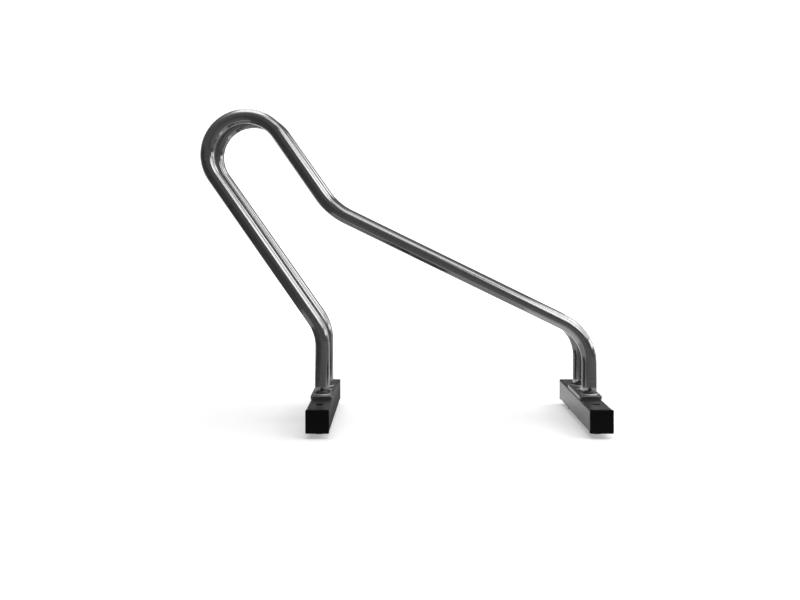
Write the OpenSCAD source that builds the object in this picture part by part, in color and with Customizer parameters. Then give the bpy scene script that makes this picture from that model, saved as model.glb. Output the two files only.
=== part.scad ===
// Bike rack for one wheel: two bent tube hoops, welded to foot plates that are screwed to two rails.
// The rails stand on rubber ring feet, and a floor anchor can pass down through each of them.
// X runs along the parked wheel, with the low entry end at +X. Y runs across it and Z is up.
// The origin lies on the floor, at the middle of the overall length and width.

/* [Overall] */
// Overall length, from the tip of the loop to the outer face of the entry rail
rack_l = 540; // [535:1:560]
// Overall width across the wheel, end cap to end cap
rack_w = 250; // [236:2:320]
// Overall height, to the top of the loop
rack_h = 427; // [417:2:467]

/* [Hoops] */
// Outer diameter of the hoop tube
tube_d = 20; // [16:0.5:24]
// Wall thickness of the hoop tube
tube_wall = 2; // [1.5:0.1:3]
// Distance between the centrelines of the two hoops
hoop_pitch = 72; // [64:1:78]
// Centreline radius of the loop at the high end
loop_r = 52; // [46:1:58]
// Lean of the two legs below the loop, from the vertical
leg_angle = 35; // [33:0.5:37]
// Fall of the long slope, below the horizontal
slope_angle = 26; // [23:0.5:28]
// Height at which the slope and the entry post would meet without their bend
slope_end_h = 122; // [112:1:132]
// Centreline radius of the bend above each foot
foot_bend_r = 60; // [40:1:75]
// Centreline radius of the gentle bend between the leg and the slope
slope_bend_r = 90; // [60:1:110]

/* [Rails] */
// Distance between the centrelines of the two rails
rail_pitch = 360; // [350:1:375]
// Outer width and height of the square rail
rail_size = 30; // [28:1:36]
// Wall thickness of the rail
rail_wall = 2; // [1.5:0.1:2.5]
// Outer corner radius of the rail's section
rail_corner_r = 3; // [2.7:0.1:4]
// Diameter of the floor anchor holes, which pass through both walls and the feet
anchor_d = 10; // [8:0.5:12]
// Distance between the two anchor holes of one rail
anchor_pitch = 170; // [150:2:180]
// Diameter of the drain holes in the rail's inner side
drain_d = 2.5; // [2:0.5:5]
// Distance between the two drain holes of one rail
drain_pitch = 82; // [60:2:100]
// Height of the drain holes' centres above the underside of the rail
drain_h = 3.5; // [3.5:0.5:8]

/* [Feet] */
// Height of a foot, from the floor to the underside of its rail
foot_h = 7; // [4:0.5:12]
// Outer diameter of a foot
foot_d = 18; // [16:0.5:24]
// Radius that eases the lower outer edge of a foot
foot_edge_r = 0.8; // [0.4:0.1:1.2]

/* [Foot plates] */
// Length of a foot plate, along its rail
plate_l = 100; // [96:1:116]
// Thickness of a foot plate
plate_t = 5; // [4:0.5:8]
// Corner radius of a foot plate in plan
plate_corner_r = 3; // [2.2:0.1:5]
// Radius that eases the upper edges of a foot plate
plate_edge_r = 1; // [0.5:0.1:1.1]
// Diameter of the screw hole in a foot plate
plate_hole_d = 11; // [10.5:0.1:12]
// Leg of the weld bead round the foot of each tube
weld_leg = 2; // [1.5:0.1:2.8]

/* [Screws and rivet nuts] */
// Thread diameter of the screw
thread_d = 10; // [8:0.5:10]
// Length of the screw below its head
screw_l = 20; // [16:1:24]
// Diameter of the flange of the screw head
flange_d = 21.5; // [19:0.5:24]
// Thickness of the flange of the screw head
flange_t = 1.5; // [1:0.1:2]
// Diameter of the dome of the screw head
dome_d = 17; // [15:0.5:18]
// Height of the dome above the flange
dome_h = 3.7; // [3:0.1:5]
// Width across the flats of the hexagon socket
socket_af = 6; // [5:0.5:7]
// Depth of the hexagon socket
socket_depth = 3; // [2:0.1:3.5]
// Diameter of the rivet nut's sleeve
nut_d = 13; // [12.5:0.1:14]
// Length of the rivet nut below its flange
nut_l = 20; // [16:1:24]
// Diameter of the rivet nut's flange
nut_flange_d = 16; // [15:0.5:18]
// Thickness of the rivet nut's flange
nut_flange_t = 1; // [0.6:0.1:1.5]
// Diameter of the crimp that grips the rail wall from inside
crimp_d = 18; // [16:0.5:20]
// Height of the crimp
crimp_h = 4; // [3:0.5:5]

/* [End caps] */
// Thickness of the cap's head, outside the rail
cap_t = 4; // [3.5:0.5:6]
// Corner radius of the cap's head, seen from its end
cap_corner_r = 1.5; // [1.2:0.1:3]
// Radius that eases the outer edges of the cap's head
cap_edge_r = 0.5; // [0.3:0.1:1.1]
// Length of the cap's plug, inside the rail
plug_l = 16; // [14:1:24]
// Wall thickness of the plug
plug_wall = 1.5; // [1.2:0.1:2]
// Number of fins round the plug
fins = 3; // [2:1:4]
// Thickness of one fin
fin_t = 1; // [0.8:0.1:1.4]
// Height of a fin above the plug's wall
fin_h = 1.5; // [1:0.1:2]

/* [Hidden] */
// Names of the sub-parts, one of which can be shown alone

$fn = 64;

// How far a cut runs past the face that it opens
overrun = 1;
// Gap round pieces that pass through, sit in or screw into another
fit_gap = 0.1;
// How much fuller than the tube a ball is that joins a straight length to its bend
joint_swell = 0.03;
// How far a bend stops short of its joint, inside that ball
joint_gap = 0.1;

steel_colour = "#54575a";
rail_colour = "#4b4e4c";
plate_colour = "#5b5e60";
weld_colour = "#8a8d90";
zinc_colour = "#8e9296";
cap_colour = "#0c0c10";
foot_colour = "#17171a";

tube_r = tube_d / 2;
entry_x = rack_l / 2 - rail_size / 2;
loop_x = entry_x - rail_pitch;
near_y = -hoop_pitch / 2;
far_y = hoop_pitch / 2;
rail_l = rack_w - 2 * cap_t;
rail_bore = rail_size - 2 * rail_wall;
rail_bore_corner_r = rail_corner_r - rail_wall;
rail_mid = foot_h + rail_size / 2;
rail_top = foot_h + rail_size;
plate_top = rail_top + plate_t;

// The hoop in its own plane, as [x, z] points
leg_down = [sin(leg_angle), -cos(leg_angle)];
leg_across = [cos(leg_angle), sin(leg_angle)];
slope_up = [-cos(slope_angle), sin(slope_angle)];
loop_centre = [tube_r + loop_r - rack_l / 2, rack_h - tube_r - loop_r];
loop_start = loop_centre - loop_r * leg_across;
loop_finish = loop_centre + loop_r * leg_across;
loop_corner = meet(loop_start, leg_down, [loop_x, 0], [0, 1]);
slope_end = [entry_x, slope_end_h];
slope_top = meet(loop_finish, leg_down, slope_end, slope_up);

// Where the line from p along u meets the line from q along v
function meet(p, u, q, v) = p + u * cross(q - p, v) / cross(u, v);

function unit(v) = v / norm(v);
function direction(v) = atan2(v[1], v[0]);

// A bend is [where it starts, where it ends, its centre, its turn, anticlockwise positive].
// This one rounds the corner at b, on the way from a to c.
function corner_bend(a, b, c, radius) =
    let (
        u = unit(b - a),
        v = unit(c - b),
        turn = sign(cross(u, v)) * acos(u * v),
        setback = radius * tan(abs(turn) / 2),
        start = b - setback * u
    )
    [start, b + setback * v, start + sign(turn) * radius * [-u[1], u[0]], turn];

// The bends from the foot under the loop, up and over, down the slope, to the foot at the entry
hoop_bends = [
    corner_bend([loop_x, 0], loop_corner, loop_start, foot_bend_r),
    [loop_start, loop_finish, loop_centre, -180],
    corner_bend(loop_finish, slope_top, slope_end, slope_bend_r),
    corner_bend(slope_top, slope_end, [entry_x, 0], foot_bend_r)
];

// A round bar of radius r from p to q
module straight_bar(p, q, r) {
    translate([p[0], p[1], 0])
        rotate([0, 90, direction(q - p)])
            cylinder(h = norm(q - p), r = r);
}

// A round bar of radius r along a bend, with a ball at each joint to seat the straight bar there.
// It stops a little short of its joints, inside the balls.
module bent_bar(bend, r) {
    centre = bend[2];
    first = bend[3] > 0 ? bend[0] : bend[1];
    bend_r = norm(first - centre);
    gap_angle = 2 * asin(joint_gap / 2 / bend_r);
    translate([centre[0], centre[1], 0])
        rotate([0, 0, direction(first - centre) + gap_angle])
            rotate_extrude(angle = abs(bend[3]) - 2 * gap_angle)
                translate([bend_r, 0])
                    circle(r = r);
    for (joint = [bend[0], bend[1]])
        translate([joint[0], joint[1], 0])
            rotate([90, 0, direction(joint - centre)])
                sphere(r = r + joint_swell);
}

// The whole bent bar, from foot to foot
module hoop_bar(foot_z, r) {
    starts = concat([[loop_x, foot_z]], [for (bend = hoop_bends) bend[1]]);
    ends = concat([for (bend = hoop_bends) bend[0]], [[entry_x, foot_z]]);
    for (i = [0 : len(ends) - 1]) straight_bar(starts[i], ends[i], r);
    for (bend = hoop_bends) bent_bar(bend, r);
}

// One hollow hoop, standing in the plane y = 0
module hoop() {
    rotate([90, 0, 0])
        difference() {
            hoop_bar(plate_top, tube_r);
            hoop_bar(plate_top - overrun, tube_r - tube_wall);
        }
}

// A rectangle with round corners, centred
module rounded_rectangle(w, l, r) {
    square([w - 2 * r, l], center = true);
    square([w, l - 2 * r], center = true);
    for (x = [r - w / 2, w / 2 - r], y = [r - l / 2, l / 2 - r]) translate([x, y]) circle(r = r);
}

// The section of a rim from its inner side out, with its upper outer edge eased
module rim_section(corner_r, t, edge_r) {
    square([corner_r - edge_r, t]);
    square([corner_r, t - edge_r]);
    translate([corner_r - edge_r, t - edge_r]) circle(r = edge_r);
}

// A plate with round corners whose upper edges are eased, standing on z = 0
module eased_plate(w, l, t, corner_r, edge_r) {
    core_w = w - 2 * corner_r;
    core_l = l - 2 * corner_r;
    translate([-core_w / 2, -core_l / 2, 0]) cube([core_w, core_l, t]);
    for (x = [-1, 1]) {
        for (y = [-1, 1]) {
            translate([x * core_w / 2, y * core_l / 2, 0]) rotate_extrude() rim_section(corner_r, t, edge_r);
        }
        rim_run(x > 0 ? 0 : 180, core_w, core_l, t, corner_r, edge_r);
        rim_run(x > 0 ? 90 : 270, core_l, core_w, t, corner_r, edge_r);
    }
}

// One straight side of the rim, on the side that the angle names
module rim_run(angle, across, along, t, corner_r, edge_r) {
    rotate([0, 0, angle])
        translate([across / 2, 0, 0])
            rotate([90, 0, 0])
                linear_extrude(height = along, center = true)
                    rim_section(corner_r, t, edge_r);
}

// Both hoops' plate under one end, with its screw hole and a pocket for the rivet nut's flange
module foot_plate() {
    difference() {
        translate([0, 0, rail_top]) eased_plate(rail_size, plate_l, plate_t, plate_corner_r, plate_edge_r);
        translate([0, 0, rail_top - overrun]) cylinder(h = plate_t + 2 * overrun, d = plate_hole_d);
        translate([0, 0, rail_top - overrun])
            cylinder(h = nut_flange_t + fit_gap + overrun, d = nut_flange_d + 4 * fit_gap);
    }
}

// A quarter-round bead in the corner between a tube and its plate
module weld_bead() {
    translate([0, 0, plate_top])
        rotate_extrude()
            translate([tube_r + fit_gap / 2, 0])
                intersection() {
                    circle(r = weld_leg);
                    square([weld_leg + overrun, weld_leg + overrun]);
                }
}

// A square tube along Y. The drain holes open on the side that inner points to, +1 or -1 along X.
module rail(inner) {
    translate([0, 0, rail_mid])
        difference() {
            rotate([90, 0, 0])
                linear_extrude(height = rail_l, center = true)
                    difference() {
                        rounded_rectangle(rail_size, rail_size, rail_corner_r);
                        rounded_rectangle(rail_bore, rail_bore, rail_bore_corner_r);
                    }
            for (y = [-anchor_pitch / 2, anchor_pitch / 2])
                translate([0, y, -rail_size / 2 - overrun])
                    cylinder(h = rail_size + 2 * overrun, d = anchor_d);
            cylinder(h = rail_size / 2 + overrun, d = nut_d + 2 * fit_gap);
            for (y = [-drain_pitch / 2, drain_pitch / 2])
                translate([inner * (rail_size / 2 + overrun), y, drain_h - rail_size / 2])
                    rotate([0, -inner * 90, 0])
                        cylinder(h = rail_wall + 2 * overrun, d = drain_d);
        }
}

// A rubber ring under a rail, round the hole for the floor anchor, with its lower outer edge eased
module ring_foot() {
    rotate_extrude()
        translate([anchor_d / 2, foot_h])
            mirror([0, 1])
                rim_section((foot_d - anchor_d) / 2, foot_h, foot_edge_r);
}

// A push-in plug for a rail end, with its head facing up from z = 0 and its finned plug below
module end_cap() {
    fin_size = rail_bore - 2 * fit_gap;
    plug_size = fin_size - 2 * fin_h;
    fin_pitch = (plug_l - fin_t) / fins;
    eased_plate(rail_size, rail_size, cap_t, cap_corner_r, cap_edge_r);
    translate([0, 0, -plug_l])
        linear_extrude(height = plug_l)
            difference() {
                square(plug_size, center = true);
                square(plug_size - 2 * plug_wall, center = true);
            }
    for (i = [0 : fins - 1])
        translate([0, 0, -plug_l + i * fin_pitch])
            linear_extrude(height = fin_t)
                difference() {
                    rounded_rectangle(fin_size, fin_size, rail_bore_corner_r);
                    square(plug_size - plug_wall, center = true);
                }
}

// The flanged button-head screw, down through the plate and into the rivet nut
module screw() {
    dome_sphere_r = (pow(dome_d / 2, 2) + pow(dome_h, 2)) / (2 * dome_h);
    head_h = flange_t + dome_h;
    translate([0, 0, plate_top])
        difference() {
            union() {
                cylinder(h = flange_t, d = flange_d);
                intersection() {
                    translate([0, 0, head_h - dome_sphere_r]) sphere(r = dome_sphere_r);
                    cylinder(h = head_h, d = dome_d);
                }
                translate([0, 0, -screw_l]) cylinder(h = screw_l, d = thread_d);
            }
            translate([0, 0, head_h - socket_depth])
                cylinder(h = socket_depth + overrun, r = socket_af / 2 / cos(30), $fn = 6);
        }
}

// The blind nut: its flange lies on the rail, and its crimp grips the top wall from inside
module rivet_nut() {
    translate([0, 0, rail_top])
        difference() {
            union() {
                cylinder(h = nut_flange_t, d = nut_flange_d);
                translate([0, 0, -nut_l]) cylinder(h = nut_l, d = nut_d);
                translate([0, 0, -rail_wall - crimp_h / 2])
                    rotate_extrude() {
                        translate([0, -crimp_h / 2]) square([(crimp_d - crimp_h) / 2, crimp_h]);
                        translate([(crimp_d - crimp_h) / 2, 0]) circle(d = crimp_h);
                    }
            }
            translate([0, 0, -nut_l - overrun])
                cylinder(h = nut_l + nut_flange_t + 2 * overrun, d = thread_d + 2 * fit_gap);
        }
}

module near_hoop() { color(steel_colour) translate([0, near_y, 0]) hoop(); }
module far_hoop() { color(steel_colour) translate([0, far_y, 0]) hoop(); }

module loop_foot_plate() { color(plate_colour) translate([loop_x, 0, 0]) foot_plate(); }
module entry_foot_plate() { color(plate_colour) translate([entry_x, 0, 0]) foot_plate(); }

module loop_near_weld() { color(weld_colour) translate([loop_x, near_y, 0]) weld_bead(); }
module loop_far_weld() { color(weld_colour) translate([loop_x, far_y, 0]) weld_bead(); }
module entry_near_weld() { color(weld_colour) translate([entry_x, near_y, 0]) weld_bead(); }
module entry_far_weld() { color(weld_colour) translate([entry_x, far_y, 0]) weld_bead(); }

module loop_rail() { color(rail_colour) translate([loop_x, 0, 0]) rail(1); }
module entry_rail() { color(rail_colour) translate([entry_x, 0, 0]) rail(-1); }

// A foot under the near or far end of the rail at x, where end is -1 or +1
module placed_foot(x, end) {
    color(foot_colour) translate([x, end * anchor_pitch / 2, 0]) ring_foot();
}

module loop_near_foot() { placed_foot(loop_x, -1); }
module loop_far_foot() { placed_foot(loop_x, 1); }
module entry_near_foot() { placed_foot(entry_x, -1); }
module entry_far_foot() { placed_foot(entry_x, 1); }

// A cap in the near or far end of the rail at x, where end is -1 or +1
module placed_cap(x, end) {
    color(cap_colour)
        translate([x, end * rail_l / 2, rail_mid])
            rotate([-end * 90, 0, 0])
                end_cap();
}

module loop_near_cap() { placed_cap(loop_x, -1); }
module loop_far_cap() { placed_cap(loop_x, 1); }
module entry_near_cap() { placed_cap(entry_x, -1); }
module entry_far_cap() { placed_cap(entry_x, 1); }

module loop_screw() { color(zinc_colour) translate([loop_x, 0, 0]) screw(); }
module entry_screw() { color(zinc_colour) translate([entry_x, 0, 0]) screw(); }
module loop_rivet_nut() { color(zinc_colour) translate([loop_x, 0, 0]) rivet_nut(); }
module entry_rivet_nut() { color(zinc_colour) translate([entry_x, 0, 0]) rivet_nut(); }

near_hoop();
far_hoop();
loop_foot_plate();
entry_foot_plate();
loop_near_weld();
loop_far_weld();
entry_near_weld();
entry_far_weld();
loop_rail();
entry_rail();
loop_near_foot();
loop_far_foot();
entry_near_foot();
entry_far_foot();
loop_near_cap();
loop_far_cap();
entry_near_cap();
entry_far_cap();
loop_screw();
entry_screw();
loop_rivet_nut();
entry_rivet_nut();
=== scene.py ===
import math

import bpy
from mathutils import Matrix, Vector


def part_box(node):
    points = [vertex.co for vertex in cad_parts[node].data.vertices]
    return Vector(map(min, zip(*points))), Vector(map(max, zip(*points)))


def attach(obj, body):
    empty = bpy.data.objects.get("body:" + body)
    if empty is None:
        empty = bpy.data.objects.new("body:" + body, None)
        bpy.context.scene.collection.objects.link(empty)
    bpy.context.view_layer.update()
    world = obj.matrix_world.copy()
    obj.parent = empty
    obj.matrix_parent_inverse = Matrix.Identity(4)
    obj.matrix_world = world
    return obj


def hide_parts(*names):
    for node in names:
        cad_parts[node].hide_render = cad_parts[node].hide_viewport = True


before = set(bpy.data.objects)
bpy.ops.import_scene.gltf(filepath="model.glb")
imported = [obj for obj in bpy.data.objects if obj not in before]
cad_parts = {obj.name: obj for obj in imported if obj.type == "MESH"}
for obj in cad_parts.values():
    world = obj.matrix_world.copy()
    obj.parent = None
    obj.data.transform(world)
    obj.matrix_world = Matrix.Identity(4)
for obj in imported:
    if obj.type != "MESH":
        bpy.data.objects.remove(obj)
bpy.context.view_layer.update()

MM = 0.001
BODY = "root"

# The hoop's own sizes, in millimetres and degrees. Its place comes from the frame's boxes.
TUBE_WALL = 2
LOOP_R = 52
LEG_LEAN = 35
SLOPE_FALL = 26
SLOPE_END_H = 122
FOOT_BEND_R = 60
KNEE_BEND_R = 90

# How finely the hoop is drawn: sides round the tube, degrees of bend and millimetres of straight per ring
TUBE_SIDES = 64
BEND_STEP = 2.5
STRAIGHT_STEP = 12

# The weld beads, in millimetres. The valleys between ripples are sharper for a lower power, and the swell
# of the bead's face is a share of its leg.
WELD_LEG = 2
WELD_RIPPLES = 26
WELD_RIPPLE_DEPTH = 0.14
WELD_VALLEY_POWER = 0.6
WELD_SWELL = 0.1
WELD_STEPS_PER_RIPPLE = 8
WELD_FACE_STEPS = 6

# The flanged button-head screws, in millimetres
FLANGE_D = 21.5
FLANGE_T = 1.5
FLANGE_EDGE_R = FLANGE_T / 3
DOME_D = 17
DOME_H = 3.7
SOCKET_AF = 6
SOCKET_DEPTH = 3
THREAD_D = 10
THREAD_PITCH = 1.5
THREAD_DEPTH = 0.9
SCREW_L = 20

# The mouth of the screw's socket: two rings below the head's top, and the dome's start outside the corners
MOUTH_RINGS = (0.45, 0.35)
MOUTH_MARGIN = 0.25

# How finely the screw is drawn
SCREW_SIDES = 48
DOME_STEPS = 10
FLANGE_EDGE_STEPS = 4
THREAD_STEPS_PER_TURN = 8

# The studio's ceiling: how high a place is, as the sine of its elevation, and its grey
CEILING_STRENGTH = 3.6
CEILING_STOPS = [
    (0.5, "#434343"),
    (0.72, "#555555"),
    (0.85, "#767676"),
    (0.9, "#949494"),
    (0.95, "#f9f9f9"),
    (1.0, "#ffffff"),
]

# The white papers, in metres: how far they reach, where the wall stands and how high it is
SET_REACH = 12.0
WALL_Y = 3.0
WALL_H = 1.6

# The papers' own glow, on the floor near the rack and everywhere far from it, and where it changes
PAPER_COLOUR = "#c4c4c4"
FLOOR_GLOW = 0.36
FULL_GLOW = 1.0
FADE_FROM = 0.35
FADE_TO = 1.0

# Dull cards that only reflections see, which paint darker and paler reflections into the tubes and rails,
# and how high they lie or stand over the floor, in metres. The second layer covers the first.
CARD_GREYS = {
    "dark": "#5c5c5c",
    "grey": "#747474",
    "middle": "#828282",
    "pale": "#b4b4b4",
    "white": "#f0f0f0",
}
FIRST_LAYER = 0.001
SECOND_LAYER = 0.0015
FLAG_FOOT = 0.002

# Upright cards, which paint dark reflections into the tubes' sides and the rails' tops: name, where the foot
# starts and ends, height of the top, grey
FLAGS = [
    ("back_flag", (-0.45, 1.0), (0.6, 1.0), 0.75, "middle"),
    ("left_flag", (-0.6, -0.5), (-0.6, 0.1), 0.45, "dark"),
]

# Cards on the floor, which paint the floor's reflection in the rack greyer than the floor itself: name, low
# corner, high corner, layer, grey
FLOOR_CARDS = [
    ("floor_card", (-0.34, -SET_REACH), (SET_REACH, SET_REACH), FIRST_LAYER, "pale"),
    ("left_card", (-SET_REACH, -SET_REACH), (-0.34, 0.3), FIRST_LAYER, "dark"),
    ("front_card", (-0.34, -SET_REACH), (SET_REACH, -0.22), SECOND_LAYER, "grey"),
    ("right_card", (0.45, -0.3), (SET_REACH, 0.3), SECOND_LAYER, "grey"),
    # These two strips paint the rails' inner sides: a dark reflection on the loop rail's and a pale
    # reflection on the entry rail's.
    ("loop_rail_painted_dark_reflection", (-0.089, -0.12), (-0.02, 0.5), SECOND_LAYER, "dark"),
    ("entry_rail_painted_pale_reflection", (0.12, -0.12), (0.239, 0.5), SECOND_LAYER, "white"),
]

# Soft boxes, in metres and watts: name, place, the point it faces, width, height, power
SOFTBOXES = [
    ("right_core", (1.5, 0.4, 1.4), (0, 0, 0.25), 1.4, 0.45, 4),
    ("right_wide", (1.7, -0.1, 1.3), (0, 0, 0.25), 3.0, 1.3, 24),
    ("right_front", (1.25, -1.3, 1.15), (0, 0, 0.25), 0.7, 0.9, 5),
    ("right_low", (1.9, 0.1, 0.5), (0, 0, 0.05), 1.6, 0.3, 5),
    ("right_top", (0.85, -0.6, 1.85), (0, 0, 0.25), 1.6, 0.6, 5),
    ("back_high", (-0.35, 1.6, 2.3), (0, 0, 0.2), 1.2, 1.3, 10),
]

# The camera, read from the photograph's one-point perspective
IMAGE_W = 800
IMAGE_H = 600
SENSOR_W = 36
FOCAL_PX = 1029.4
HORIZON_PX = 217.7
CAMERA_AT = Vector((-0.24, -1425, 280.06)) * MM


def linear(hex_colour):
    """An sRGB hex colour as the linear RGBA that the nodes take."""
    channels = [int(hex_colour[i:i + 2], 16) / 255 for i in (1, 3, 5)]
    return tuple(c / 12.92 if c <= 0.04045 else ((c + 0.055) / 1.055) ** 2.4 for c in channels) + (1.0,)


def add_node(tree, kind, settings=None, links=None):
    """Adds a node to the tree, sets its sockets and properties by name, and links its sockets."""
    node = tree.nodes.new(kind)
    for name, value in (settings or {}).items():
        if name in node.inputs:
            node.inputs[name].default_value = value
        else:
            setattr(node, name, value)
    for name, source in (links or {}).items():
        tree.links.new(source, node.inputs[name])
    return node


def new_material(name):
    """An empty node material and its tree."""
    material = bpy.data.materials.new(name)
    material.use_nodes = True
    material.node_tree.nodes.clear()
    return material, material.node_tree


def finish_material(tree, shader):
    """Ends a material in the given shader."""
    add_node(tree, "ShaderNodeOutputMaterial", links={"Surface": shader})


def finish_principled(tree, settings, links):
    """Ends a material in a principled shader."""
    shader = add_node(tree, "ShaderNodeBsdfPrincipled", settings, links)
    finish_material(tree, shader.outputs["BSDF"])


def grain(tree, coordinates, per_mm):
    """A noise with the given number of cells per millimetre along each axis."""
    scale = [cells / MM for cells in per_mm]
    mapping = add_node(tree, "ShaderNodeMapping", {"Scale": scale}, {"Vector": coordinates})
    noise = add_node(
        tree, "ShaderNodeTexNoise", {"Scale": 1.0, "Detail": 3.0}, {"Vector": mapping.outputs["Vector"]}
    )
    return noise.outputs["Fac"]


def blend(tree, share, low, high):
    """A colour between two sRGB hex colours, by the given share."""
    mix = add_node(tree, "ShaderNodeMix", {"data_type": "RGBA"}, {"Factor": share})
    mix.inputs["A"].default_value = linear(low)
    mix.inputs["B"].default_value = linear(high)
    return mix.outputs["Result"]


def spread(tree, share, low, high):
    """A value between two values, by the given share."""
    return add_node(
        tree, "ShaderNodeMapRange", {"To Min": low, "To Max": high}, {"Value": share}
    ).outputs["Result"]


def relief(tree, height, strength, depth):
    """The normal of a surface with a relief of the given depth, in metres."""
    return add_node(
        tree, "ShaderNodeBump", {"Strength": strength, "Distance": depth}, {"Height": height}
    ).outputs["Normal"]


def ground_tube_steel():
    """Mild steel tube, ground round and round and waxed. It is dark and nearly mirror-like across the
    tube, with fine rings of grinding marks that give its dark side a faint grain."""
    material, tree = new_material("ground_tube_steel")
    uv = add_node(tree, "ShaderNodeTexCoord").outputs["UV"]
    # A 240 grit belt leaves marks of about 0.06 mm, which are drawn 16 times as coarse to show
    marks = grain(tree, uv, (1.0, 0.04, 1.0))
    finish_principled(tree, {"Metallic": 1.0}, {
        "Base Color": blend(tree, marks, "#7a7a7a", "#9e9e9e"),
        "Roughness": spread(tree, marks, 0.1, 0.17),
    })
    return material


def rolled_steel(name, dark, light, rough_low, rough_high):
    """Cold-rolled steel, straight from the mill: the rolls leave faint lines along Y and cloudy patches."""
    material, tree = new_material(name)
    place = add_node(tree, "ShaderNodeTexCoord").outputs["Object"]
    # The real lines are finer than 0.1 mm, and are drawn about 0.6 mm wide to show
    lines = grain(tree, place, (1.6, 0.03, 1.6))
    clouds = grain(tree, place, (0.05, 0.03, 0.05))
    finish_principled(tree, {"Metallic": 1.0}, {
        "Base Color": blend(tree, clouds, dark, light),
        "Roughness": spread(tree, lines, rough_low, rough_high),
        "Normal": relief(tree, lines, 0.08, 0.0001),
    })
    return material


def weld_steel():
    """Arc weld metal, wire brushed: uneven and duller than the tube, with its ripples in the mesh."""
    material, tree = new_material("brushed_weld_steel")
    place = add_node(tree, "ShaderNodeTexCoord").outputs["Object"]
    # The brush's scratches are finer than this half millimetre, at which they show
    grit = grain(tree, place, (2.0, 2.0, 2.0))
    finish_principled(tree, {"Metallic": 1.0}, {
        "Base Color": blend(tree, grit, "#7c7b79", "#9a9a9a"),
        "Roughness": spread(tree, grit, 0.38, 0.55),
    })
    return material


def zinc_plate():
    """Electroplated zinc on steel: pale, faintly blue, with a soft sheen."""
    material, tree = new_material("electroplated_zinc")
    place = add_node(tree, "ShaderNodeTexCoord").outputs["Object"]
    # The plating's grain is too fine to see, so patches of about 0.7 mm make its sheen uneven
    patches = grain(tree, place, (1.5, 1.5, 1.5))
    finish_principled(tree, {"Metallic": 1.0}, {
        "Base Color": blend(tree, patches, "#9aa0a6", "#b4b9be"),
        "Roughness": spread(tree, patches, 0.25, 0.38),
    })
    return material


def moulded_polyethylene():
    """Injection-moulded black polyethylene: a spark-eroded mould gives it a fine matt grain."""
    material, tree = new_material("moulded_polyethylene")
    place = add_node(tree, "ShaderNodeTexCoord").outputs["Object"]
    # The real grain is about 0.1 mm, and is drawn 4 times as coarse to show
    pits = grain(tree, place, (2.5, 2.5, 2.5))
    settings = {"Base Color": linear("#040407"), "IOR": 1.5, "Specular IOR Level": 0.1}
    finish_principled(tree, settings, {
        "Roughness": spread(tree, pits, 0.42, 0.6),
        "Normal": relief(tree, pits, 0.15, 0.0001),
    })
    return material


def moulded_rubber():
    """Black moulded rubber, which scatters what little light reaches it under the rails."""
    material, tree = new_material("moulded_rubber")
    place = add_node(tree, "ShaderNodeTexCoord").outputs["Object"]
    # The real grain is finer than these 0.8 mm, at which it shows
    bumps = grain(tree, place, (1.2, 1.2, 1.2))
    settings = {"Base Color": linear("#161618"), "IOR": 1.52, "Specular IOR Level": 0.3}
    finish_principled(tree, settings, {
        "Roughness": spread(tree, bumps, 0.65, 0.85),
        "Normal": relief(tree, bumps, 0.2, 0.0002),
    })
    return material


def dress_node(node, material):
    """Gives a CAD node its material."""
    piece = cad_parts[node]
    piece.data.materials.clear()
    piece.data.materials.append(material)


def new_piece(name, points, faces, material, node, uvs=None):
    """A smooth mesh piece that rides on the rack's body and stands for one CAD node."""
    mesh = bpy.data.meshes.new(name)
    mesh.from_pydata([Vector(p) * MM for p in points], [], faces)
    mesh.materials.append(material)
    mesh.shade_smooth()
    if uvs:
        layer = mesh.uv_layers.new(name="UVMap")
        for loop in mesh.loops:
            layer.data[loop.index].uv = uvs[loop.vertex_index]
    mesh.validate()
    piece = bpy.data.objects.new(name, mesh)
    bpy.context.scene.collection.objects.link(piece)
    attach(piece, BODY)
    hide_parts(node)


def grid_faces(rows, columns, first=0, flip=False):
    """Quads between rows of points that close round on themselves, row after row."""
    faces = []
    for row in range(rows - 1):
        for column in range(columns):
            here = first + row * columns
            following = (column + 1) % columns
            face = (here + column, here + following, here + columns + following, here + columns + column)
            faces.append(face[::-1] if flip else face)
    return faces


def box_mm(node):
    """A node's lowest and highest corners, in millimetres."""
    low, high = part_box(node)
    return low / MM, high / MM


def crossing(p, along_p, q, along_q):
    """Where the line through p meets the line through q, in the hoop's plane."""
    return p + along_p * (q - p).cross(along_q) / along_p.cross(along_q)


def corner_bend(a, b, c, radius):
    """A bend that rounds the corner at b: its start, its end and its centre."""
    into, out = (b - a).normalized(), (c - b).normalized()
    turn = math.acos(into.dot(out))
    setback = radius * math.tan(turn / 2)
    side = math.copysign(1, into.cross(out))
    start = b - into * setback
    return start, b + out * setback, start + side * radius * Vector((-into.y, into.x))


def arc_points(start, end, centre, half_turn=False):
    """Points along a bend, from its start to its end, with the end left out."""
    spoke = start - centre
    turn = -math.pi if half_turn else -spoke.angle_signed(end - centre)
    steps = max(2, round(abs(math.degrees(turn)) / BEND_STEP))
    points = []
    for i in range(steps):
        angle = turn * i / steps
        turned = Vector((
            spoke.x * math.cos(angle) - spoke.y * math.sin(angle),
            spoke.x * math.sin(angle) + spoke.y * math.cos(angle),
        ))
        points.append(centre + turned)
    return points


def straight_points(start, end):
    """Points along a straight length, with the end left out."""
    steps = max(1, round((end - start).length / STRAIGHT_STEP))
    return [start.lerp(end, i / steps) for i in range(steps)]


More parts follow.
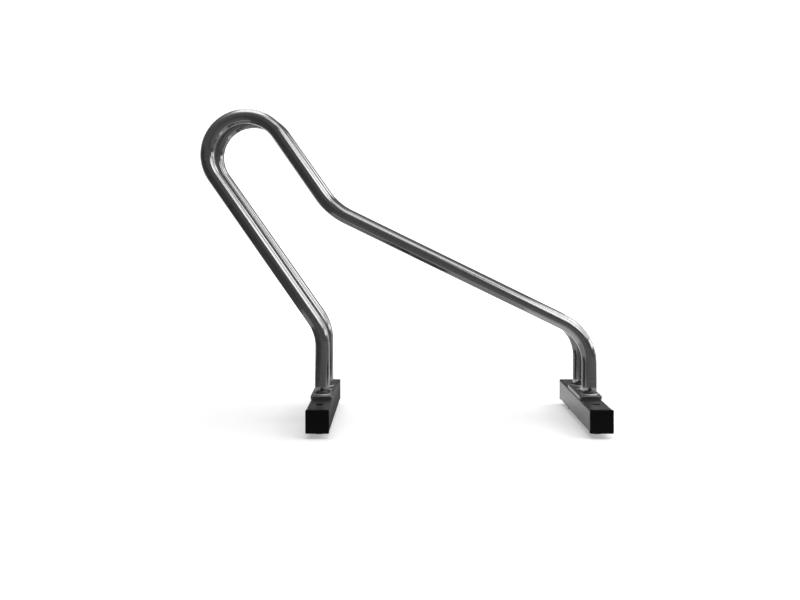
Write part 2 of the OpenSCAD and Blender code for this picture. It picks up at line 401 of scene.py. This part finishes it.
def hoop_route(foot_z, top_z, tip_x, loop_x, entry_x, tube_r):
    """The centreline of a hoop in its own plane, from the foot under the loop to the foot at the entry."""
    lean, fall = math.radians(LEG_LEAN), math.radians(SLOPE_FALL)
    leg_down = Vector((math.sin(lean), -math.cos(lean)))
    leg_across = Vector((math.cos(lean), math.sin(lean)))
    slope_up = Vector((-math.cos(fall), math.sin(fall)))
    loop_centre = Vector((tip_x + tube_r + LOOP_R, top_z - tube_r - LOOP_R))
    loop_start = loop_centre - leg_across * LOOP_R
    loop_finish = loop_centre + leg_across * LOOP_R
    slope_end = Vector((entry_x, SLOPE_END_H))
    leg_corner = crossing(loop_start, leg_down, Vector((loop_x, 0)), Vector((0, 1)))
    knee = crossing(loop_finish, leg_down, slope_end, slope_up)
    loop_foot, entry_foot = Vector((loop_x, foot_z)), Vector((entry_x, foot_z))
    bends = [
        corner_bend(loop_foot, leg_corner, loop_start, FOOT_BEND_R),
        (loop_start, loop_finish, loop_centre),
        corner_bend(loop_finish, knee, slope_end, KNEE_BEND_R),
        corner_bend(knee, slope_end, entry_foot, FOOT_BEND_R),
    ]
    route = []
    reached = loop_foot
    for start, end, centre in bends:
        route += straight_points(reached, start)
        route += arc_points(start, end, centre, half_turn=centre == loop_centre)
        reached = end
    return route + straight_points(reached, entry_foot) + [entry_foot]


def tube_rows(route, y, radius):
    """Rings of points square to the route, and level at both feet."""
    points = []
    for i, here in enumerate(route):
        along = (route[min(i + 1, len(route) - 1)] - route[max(i - 1, 0)]).normalized()
        if i in (0, len(route) - 1):
            along = Vector((0, 1 if i == 0 else -1))
        for side in range(TUBE_SIDES):
            angle = 2 * math.pi * side / TUBE_SIDES
            across = radius * math.cos(angle)
            points.append((
                here.x - along.y * across,
                y + radius * math.sin(angle),
                here.y + along.x * across,
            ))
    return points


def tube_end_faces(row, inner, flip):
    """The flat ring that joins the outer and the inner wall at one foot."""
    first = row * TUBE_SIDES
    faces = []
    for side in range(TUBE_SIDES):
        following = (side + 1) % TUBE_SIDES
        face = (first + side, first + following, inner + first + following, inner + first + side)
        faces.append(face[::-1] if flip else face)
    return faces


def tube_uvs(route, radii):
    """Real distances in metres along and round the tube, for each wall."""
    reach = [0.0]
    for a, b in zip(route, route[1:]):
        reach.append(reach[-1] + (b - a).length)
    uvs = []
    for radius in radii:
        for along in reach:
            for side in range(TUBE_SIDES):
                # Up one half of the tube and down the other, so that the pattern has no seam
                half_way = min(side, TUBE_SIDES - side) / TUBE_SIDES
                uvs.append((along * MM, 2 * math.pi * radius * half_way * MM))
    return uvs


def make_hoop(node, material):
    """One bent hollow tube, drawn more finely than its solid."""
    low, high = box_mm(node)
    loop_low, loop_high = box_mm("loop_foot_plate")
    entry_low, entry_high = box_mm("entry_foot_plate")
    tube_r = (high.y - low.y) / 2
    y = (low.y + high.y) / 2
    loop_x = (loop_low.x + loop_high.x) / 2
    entry_x = (entry_low.x + entry_high.x) / 2
    route = hoop_route(loop_high.z, high.z, low.x, loop_x, entry_x, tube_r)
    rows = len(route)
    inner = rows * TUBE_SIDES
    points = tube_rows(route, y, tube_r) + tube_rows(route, y, tube_r - TUBE_WALL)
    faces = grid_faces(rows, TUBE_SIDES, 0, flip=True) + grid_faces(rows, TUBE_SIDES, inner)
    faces += tube_end_faces(0, inner, flip=False) + tube_end_faces(rows - 1, inner, flip=True)
    uvs = tube_uvs(route, (tube_r, tube_r - TUBE_WALL))
    new_piece(node + "_tube", points, faces, material, node, uvs)


def make_weld(node, material):
    """A rippled fillet bead round the foot of a tube."""
    low, high = box_mm(node)
    centre = (low + high) / 2
    tube_r = (high.x - low.x) / 2 - WELD_LEG
    columns = WELD_RIPPLES * WELD_STEPS_PER_RIPPLE
    # The rows of the bead's face, from the plate up to the tube, and last the hidden corner under it
    corner_row = WELD_FACE_STEPS + 1
    points = []
    for row in range(corner_row + 1):
        for column in range(columns):
            turn = column / columns
            valley = 1 - abs(math.sin(math.pi * WELD_RIPPLES * turn)) ** WELD_VALLEY_POWER
            leg = WELD_LEG - WELD_RIPPLE_DEPTH * valley
            out, up = 0, 0
            if row < corner_row:
                share = row / WELD_FACE_STEPS
                swell = WELD_SWELL * math.sin(math.pi * share)
                out, up = leg * (1 - share + swell), leg * (share + swell)
            radius = tube_r + out
            angle = 2 * math.pi * turn
            points.append((
                centre.x + radius * math.cos(angle),
                centre.y + radius * math.sin(angle),
                low.z + up,
            ))
    faces = grid_faces(corner_row + 1, columns)
    last = corner_row * columns
    for column in range(columns):
        following = (column + 1) % columns
        faces.append((last + column, last + following, following, column))
    new_piece(node + "_bead", points, faces, material, node)


def screw_profile():
    """Rows of the screw from the bottom of its socket and over the head to the top of its shank: the
    radius, the height over the plate, and whether the row is a hexagon."""
    dome_r = ((DOME_D / 2) ** 2 + DOME_H ** 2) / (2 * DOME_H)
    head_h = FLANGE_T + DOME_H
    rim = SOCKET_AF / 2 / math.cos(math.pi / 6) + MOUTH_MARGIN
    # The ring at the socket's bottom is doubled, which keeps that edge sharp
    rows = [
        (0, head_h - SOCKET_DEPTH, True),
        (SOCKET_AF / 2, head_h - SOCKET_DEPTH, True),
        (SOCKET_AF / 2, head_h - SOCKET_DEPTH, True),
    ]
    for depth in MOUTH_RINGS:
        rows.append((SOCKET_AF / 2, head_h - depth, True))
    for i in range(DOME_STEPS + 1):
        radius = rim + (DOME_D / 2 - rim) * i / DOME_STEPS
        rows.append((radius, head_h - dome_r + math.sqrt(dome_r ** 2 - radius ** 2), False))
    rows.append((DOME_D / 2 + FLANGE_EDGE_R / 2, FLANGE_T, False))
    for i in range(FLANGE_EDGE_STEPS + 1):
        angle = math.pi / 2 * i / FLANGE_EDGE_STEPS
        rows.append((
            FLANGE_D / 2 - FLANGE_EDGE_R + FLANGE_EDGE_R * math.sin(angle),
            FLANGE_T - FLANGE_EDGE_R + FLANGE_EDGE_R * math.cos(angle),
            False,
        ))
    rows.append((FLANGE_D / 2, 0, False))
    rows.append((THREAD_D / 2, 0, False))
    return rows


def make_screw(node, material):
    """A flanged button-head screw with a hexagon socket and a cut thread."""
    low, high = box_mm(node)
    centre = (low + high) / 2
    seat = low.z + SCREW_L
    points = []
    rows = screw_profile()
    for radius, height, hexagonal in rows:
        for column in range(SCREW_SIDES):
            angle = 2 * math.pi * column / SCREW_SIDES
            off_flat = (angle + math.pi / 6) % (math.pi / 3) - math.pi / 6
            reach = radius / math.cos(off_flat) if hexagonal else radius
            points.append((
                centre.x + reach * math.cos(angle),
                centre.y + reach * math.sin(angle),
                seat + height,
            ))
    thread_rows = round(SCREW_L / THREAD_PITCH) * THREAD_STEPS_PER_TURN
    for row in range(1, thread_rows + 1):
        depth_down = SCREW_L * row / thread_rows
        taper = min(1, (SCREW_L - depth_down) / THREAD_PITCH)
        for column in range(SCREW_SIDES):
            turn = column / SCREW_SIDES
            wave = abs(((depth_down / THREAD_PITCH + turn) % 1) * 2 - 1)
            cut = THREAD_DEPTH * wave * min(1, depth_down / THREAD_PITCH)
            radius = THREAD_D / 2 - max(cut, THREAD_DEPTH * (1 - taper))
            points.append((
                centre.x + radius * math.cos(2 * math.pi * turn),
                centre.y + radius * math.sin(2 * math.pi * turn),
                seat - depth_down,
            ))
    total = len(rows) + thread_rows
    faces = grid_faces(total, SCREW_SIDES, flip=True)
    last = (total - 1) * SCREW_SIDES
    faces.append([last + column for column in reversed(range(SCREW_SIDES))])
    new_piece(node + "_turned", points, faces, material, node)


def seen_ray(tree):
    """1 where the camera, a reflection or clear glass sees a surface, and 0 where it only lights others."""
    path = add_node(tree, "ShaderNodeLightPath")
    total = path.outputs["Is Camera Ray"]
    for ray in ("Is Glossy Ray", "Is Transmission Ray"):
        both = add_node(tree, "ShaderNodeMath", {"operation": "ADD"})
        tree.links.new(total, both.inputs[0])
        tree.links.new(path.outputs[ray], both.inputs[1])
        total = both.outputs[0]
    return total


def studio_paper(name, glow_near):
    """White paper that takes shadows like any pale surface. Its own glow, which only shows and reflects,
    makes it read as white, and grows with the distance from the rack, where the light is weaker."""
    material, tree = new_material(name)
    place = add_node(tree, "ShaderNodeTexCoord").outputs["Object"]
    distance = add_node(tree, "ShaderNodeVectorMath", {"operation": "LENGTH"})
    tree.links.new(place, distance.inputs[0])
    fade = add_node(tree, "ShaderNodeMapRange", {
        "interpolation_type": "SMOOTHSTEP",
        "From Min": FADE_FROM,
        "From Max": FADE_TO,
        "To Min": glow_near,
        "To Max": FULL_GLOW,
    }, {"Value": distance.outputs["Value"]})
    glow = add_node(tree, "ShaderNodeMath", {"operation": "MULTIPLY"})
    tree.links.new(seen_ray(tree), glow.inputs[0])
    tree.links.new(fade.outputs["Result"], glow.inputs[1])
    paper = add_node(tree, "ShaderNodeBsdfDiffuse", {"Color": linear(PAPER_COLOUR)})
    light = add_node(tree, "ShaderNodeEmission", {"Color": linear("#ffffff")}, {"Strength": glow.outputs[0]})
    both = add_node(tree, "ShaderNodeAddShader")
    tree.links.new(paper.outputs[0], both.inputs[0])
    tree.links.new(light.outputs[0], both.inputs[1])
    finish_material(tree, both.outputs[0])
    return material


def flat_corners(low, high, height):
    """The corners of a level sheet, from its low and its high corner in plan."""
    return [(*low, height), (high[0], low[1], height), (*high, height), (low[0], high[1], height)]


def upright_corners(start, end, foot, top):
    """The corners of an upright sheet, from where its foot starts and ends in plan."""
    return [(*start, foot), (*end, foot), (*end, top), (*start, top)]


def add_sheet(name, corners, material):
    """A flat sheet of the set, which isn't part of the rack."""
    mesh = bpy.data.meshes.new(name)
    mesh.from_pydata(corners, [], [(0, 1, 2, 3)])
    mesh.materials.append(material)
    sheet = bpy.data.objects.new(name, mesh)
    bpy.context.scene.collection.objects.link(sheet)
    return sheet


def make_floor_and_backdrop():
    """A pale floor under the rack, and a pale wall well behind it."""
    floor_paper = studio_paper("floor_paper", FLOOR_GLOW)
    wall_paper = studio_paper("wall_paper", FULL_GLOW)
    floor = flat_corners((-SET_REACH, -SET_REACH), (SET_REACH, SET_REACH), 0)
    wall = upright_corners((-SET_REACH, WALL_Y), (SET_REACH, WALL_Y), 0, WALL_H)
    add_sheet("floor", floor, floor_paper)
    add_sheet("backdrop", wall, wall_paper)


def card_material(name, colour):
    """Plain dull card."""
    material, tree = new_material(name)
    card = add_node(tree, "ShaderNodeBsdfDiffuse", {"Color": linear(colour)})
    finish_material(tree, card.outputs[0])
    return material


def add_card(name, corners, material):
    """A card that only reflections see: it takes no light from the rack or the floor."""
    card = add_sheet(name, corners, material)
    card.visible_camera = False
    card.visible_diffuse = False
    card.visible_shadow = False
    card.visible_transmission = False


def make_cards():
    """Cards that only reflections see. As flags in a studio would, they paint darker reflections into the
    tubes' sides and undersides than a white room would give, and a dark and a pale reflection into the inner
    sides of the two rails.
    """
    cards = {grey: card_material(grey + "_card", colour) for grey, colour in CARD_GREYS.items()}
    for name, start, end, top, grey in FLAGS:
        add_card(name, upright_corners(start, end, FLAG_FOOT, top), cards[grey])
    for name, low, high, layer, grey in FLOOR_CARDS:
        add_card(name, flat_corners(low, high, layer), cards[grey])


def make_world():
    """A dim studio all round, brighter towards its white ceiling, which gives the tube its dark body."""
    world = bpy.data.worlds.new("dim_studio")
    world.use_nodes = True
    tree = world.node_tree
    tree.nodes.clear()
    direction = add_node(tree, "ShaderNodeTexCoord").outputs["Generated"]
    height = add_node(tree, "ShaderNodeSeparateXYZ", links={"Vector": direction}).outputs["Z"]
    ramp = add_node(tree, "ShaderNodeValToRGB", links={"Fac": height})
    ramp.color_ramp.interpolation = "LINEAR"
    stops = ramp.color_ramp.elements
    first, *between, last = CEILING_STOPS
    for stop, (place, grey) in zip(stops, (first, last)):
        stop.position, stop.color = place, linear(grey)
    for place, grey in between:
        stops.new(place).color = linear(grey)
    strength = {"Strength": CEILING_STRENGTH}
    glow = add_node(tree, "ShaderNodeBackground", strength, {"Color": ramp.outputs["Color"]})
    add_node(tree, "ShaderNodeOutputWorld", links={"Surface": glow.outputs[0]})
    bpy.context.scene.world = world


def add_softbox(name, at, towards, width, height, power):
    """A rectangular soft light, with its own place and what it points at, in metres."""
    lamp = bpy.data.lights.new(name, "AREA")
    lamp.shape = "RECTANGLE"
    lamp.size, lamp.size_y = width, height
    lamp.energy = power
    holder = bpy.data.objects.new(name, lamp)
    holder.location = at
    holder.rotation_mode = "QUATERNION"
    holder.rotation_quaternion = (Vector(towards) - Vector(at)).to_track_quat("-Z", "Y")
    holder.visible_camera = False
    bpy.context.scene.collection.objects.link(holder)


def make_camera():
    """The photograph's camera, level, with its horizon above the middle of the image."""
    lens = bpy.data.cameras.new("camera")
    lens.sensor_width = SENSOR_W
    lens.lens = FOCAL_PX / IMAGE_W * SENSOR_W
    lens.shift_y = (HORIZON_PX - IMAGE_H / 2) / IMAGE_W
    camera = bpy.data.objects.new("camera", lens)
    camera.location = CAMERA_AT
    camera.rotation_euler = (math.pi / 2, 0, 0)
    bpy.context.scene.collection.objects.link(camera)
    bpy.context.scene.camera = camera


make_camera()
make_floor_and_backdrop()
make_cards()
make_world()
for softbox in SOFTBOXES:
    add_softbox(*softbox)

tube_steel = ground_tube_steel()
for hoop in ("near_hoop", "far_hoop"):
    make_hoop(hoop, tube_steel)

bead_steel = weld_steel()
zinc = zinc_plate()
rail_steel = rolled_steel("cold_rolled_rail_steel", "#4a4d4b", "#565957", 0.32, 0.42)
plate_steel = rolled_steel("cold_rolled_plate_steel", "#666767", "#757677", 0.3, 0.42)
polyethylene = moulded_polyethylene()
rubber = moulded_rubber()
for end in ("loop", "entry"):
    for side in ("near", "far"):
        make_weld(f"{end}_{side}_weld", bead_steel)
        dress_node(f"{end}_{side}_cap", polyethylene)
        dress_node(f"{end}_{side}_foot", rubber)
    make_screw(f"{end}_screw", zinc)
    dress_node(f"{end}_rivet_nut", zinc)
    dress_node(f"{end}_rail", rail_steel)
    dress_node(f"{end}_foot_plate", plate_steel)

bpy.context.scene.view_settings.view_transform = "Standard"
